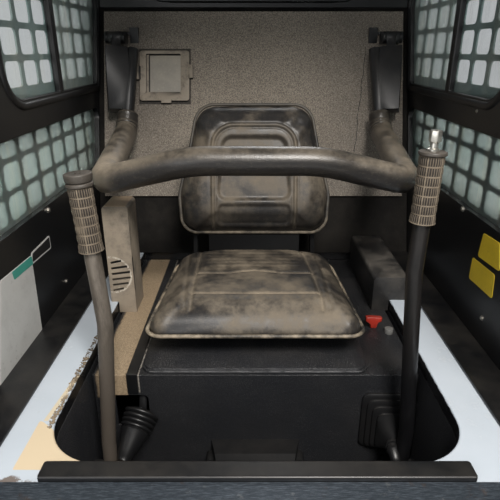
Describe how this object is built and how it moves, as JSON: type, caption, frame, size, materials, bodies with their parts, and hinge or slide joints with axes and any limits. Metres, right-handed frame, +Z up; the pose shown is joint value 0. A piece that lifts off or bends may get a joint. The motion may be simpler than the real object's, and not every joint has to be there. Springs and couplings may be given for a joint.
{
  "type": "skid steer loader operator station",
  "caption": "Operator station of a skid steer loader: open-front cab on a chassis section, seat, padded lap bar, steering levers, footwell and guarded side windows.",
  "frame": {"origin": "middle of the base, on the ground", "axes": "+Z up, -Y out through the open front, +X to the right seen from the front"},
  "size_m": [1.06, 1.28, 1.69],
  "materials": {
    "white_paint": "chipped gloss white paint, dusty",
    "black_paint": "satin black paint, dusty",
    "box_coating": "black textured coating, dusty",
    "worn_steel": "worn blue-grey steel",
    "duct_paint": "black paint under thick brown dust",
    "liner_mat": "speckled brown-grey pressed liner",
    "seal_rubber": "matt black rubber",
    "window_glass": "dirty greenish glass",
    "guard_paint": "dusty grey-green punched steel",
    "seat_vinyl": "worn black vinyl, dusty",
    "seat_plastic": "black plastic",
    "bar_foam": "black foam sleeve, dusty",
    "arm_paint": "worn dark grey paint",
    "lever_paint": "dark paint rubbed brown",
    "grip_rubber": "brown-grey dusty rubber",
    "cap_plastic": "worn black plastic",
    "stub_metal": "pale metal",
    "knob_red": "red plastic",
    "button_grey": "grey plastic",
    "frame_plastic": "dark plastic"
  },
  "bodies": {
    "station": {"access_panel": "box_coating", "belly_plate": "black_paint", "boots": "seal_rubber", "cab_side_left": "black_paint", "cab_side_right": "black_paint", "chassis_deck": "white_paint", "chassis_front": "white_paint", "chassis_rear": "white_paint", "chassis_sides": "white_paint", "duct_box": "duct_paint", "floor_ledges": "black_paint", "footwell": "box_coating", "footwell_hood": "seat_plastic", "front_header": "black_paint", "hinge_ears": "black_paint", "lever_pivots": "black_paint", "pivot_clevises": "black_paint", "pocket_frame": "frame_plastic", "rear_gasket": "seal_rubber", "rear_glass": "window_glass", "rear_liner": "liner_mat", "rear_wall": "black_paint", "rear_window_frame": "black_paint", "roof": "black_paint", "round_button": "button_grey", "seat_box": "box_coating", "seat_rails": "black_paint", "side_case": "black_paint", "side_glass_left": "window_glass", "side_glass_right": "window_glass", "side_guard_left": "guard_paint", "side_guard_right": "guard_paint", "sill_bar": "black_paint", "step_plate": "worn_steel", "trim_strip": "black_paint", "window_gasket_left": "seal_rubber", "window_gasket_right": "seal_rubber", "wing_knob": "knob_red"},
    "seat": {"seat_pan": "seat_plastic", "seat_cushion": "seat_vinyl", "backrest": "seat_vinyl", "backrest_shell": "seat_plastic"},
    "lap_bar": {"lap_bar_arms": "arm_paint", "lap_bar_padding": "bar_foam"},
    "lever_left": {"lever_left_tube": "lever_paint", "lever_left_grip": "grip_rubber", "lever_left_cap": "cap_plastic"},
    "lever_right": {"lever_right_tube": "lever_paint", "lever_right_grip": "grip_rubber", "lever_right_stub": "stub_metal"}
  },
  "joints": [
    {"name": "seat_slide", "type": "slide", "parent": "station", "child": "seat", "axis": [0, 1, 0], "range_m": [-0.06, 0.06]},
    {"name": "lap_bar_hinge", "type": "hinge", "parent": "station", "child": "lap_bar", "pos_m": [0, 0.52, 1.075], "axis": [-1, 0, 0], "range_deg": [0, 75]},
    {"name": "lever_left_hinge", "type": "hinge", "parent": "station", "child": "lever_left", "pos_m": [-0.3, -0.31, 0.19], "axis": [1, 0, 0], "range_deg": [-8, 8], "stiffness_Nm_per_rad": 120},
    {"name": "lever_right_hinge", "type": "hinge", "parent": "station", "child": "lever_right", "pos_m": [0.3, -0.31, 0.19], "axis": [1, 0, 0], "range_deg": [-8, 8], "stiffness_Nm_per_rad": 120}
  ]
}
